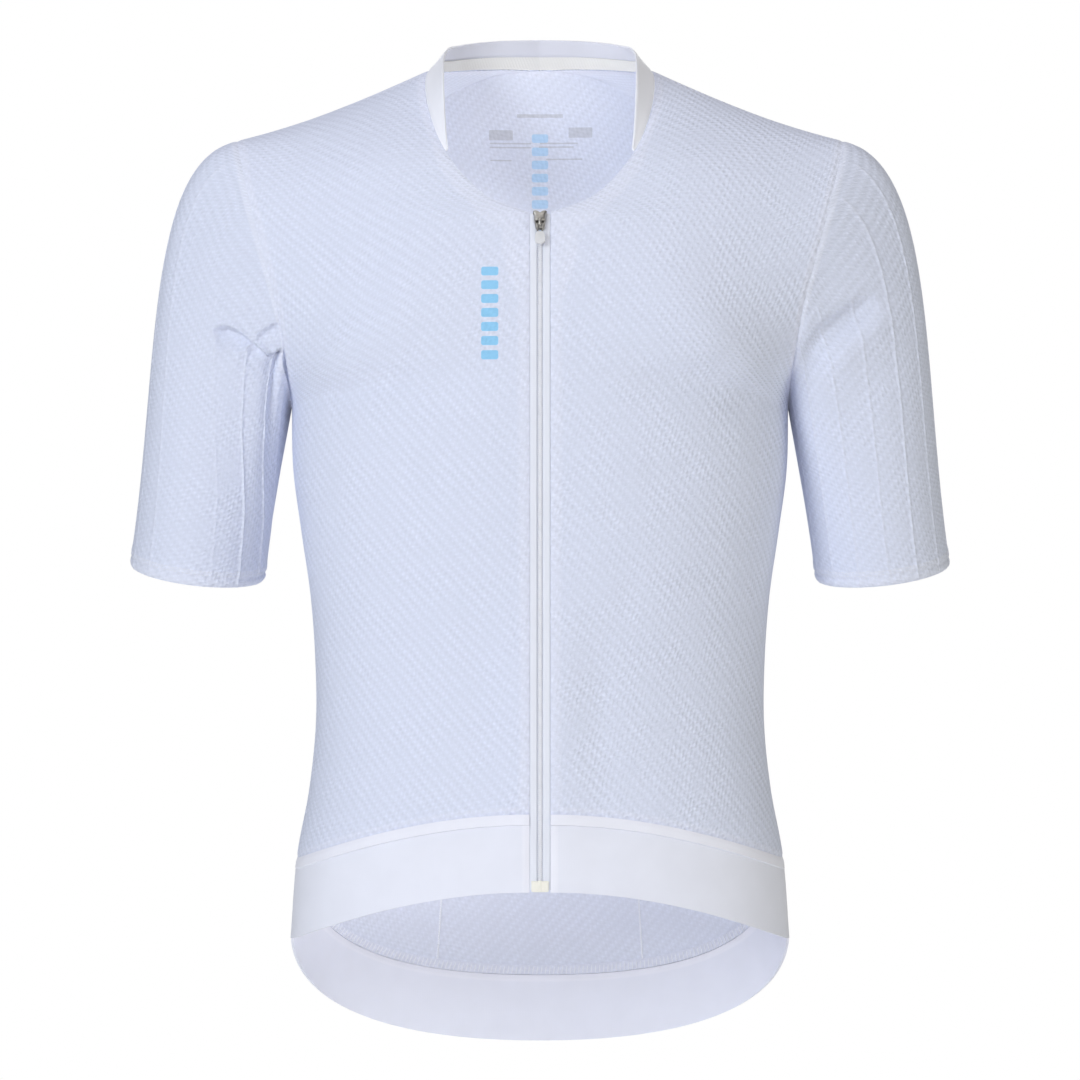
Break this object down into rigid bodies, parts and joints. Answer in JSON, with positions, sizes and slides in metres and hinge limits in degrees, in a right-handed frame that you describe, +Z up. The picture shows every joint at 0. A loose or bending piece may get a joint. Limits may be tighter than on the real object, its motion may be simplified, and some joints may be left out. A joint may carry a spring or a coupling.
{
  "type": "cycling jersey",
  "caption": "Short-sleeved cycling jersey with a full-length front zip, ribbed sleeves, a low stand collar, a dropped tail and back pockets, open and rounded as if worn.",
  "frame": {"origin": "middle of the neck base, level with the tops of the shoulder seams at the collar, where the wearer holds the garment up", "axes": "+Z up, -Y out of the front, +X to the wearer's left"},
  "size_m": [0.5961, 0.2256, 0.7389],
  "materials": {
    "mesh_knit": "matt mesh knit",
    "rib_knit": "matt ribbed knit",
    "smooth_knit": "smooth knit with a slight sheen",
    "woven_tape": "matt woven tape",
    "zip_cloth": "matt woven tape",
    "zip_plastic": "satin",
    "gunmetal": "dark plated metal",
    "clear_rubber": "cloudy, half clear",
    "box_plastic": "satin"
  },
  "bodies": {
    "jersey": {"front_right": "mesh_knit", "front_left": "mesh_knit", "back": "mesh_knit", "sleeve_right": "rib_knit", "sleeve_left": "rib_knit", "collar": "smooth_knit", "neck_tape": "woven_tape", "waistband_front_right": "smooth_knit", "waistband_front_left": "smooth_knit", "waistband_back": "smooth_knit", "pocket_right": "mesh_knit", "pocket_centre": "mesh_knit", "pocket_left": "mesh_knit", "zip_tape_right": "zip_cloth", "zip_tape_left": "zip_cloth", "zip_chain": "zip_plastic", "zip_slider": "gunmetal", "zip_box": "box_plastic"},
    "zip_pull": {"zip_pull": "clear_rubber"}
  },
  "joints": [
    {"name": "pull_swing", "type": "hinge", "parent": "jersey", "child": "zip_pull", "pos_m": [0, -0.099, -0.11021], "axis": [-1, 0, 0], "range_deg": [0, 140]}
  ]
}
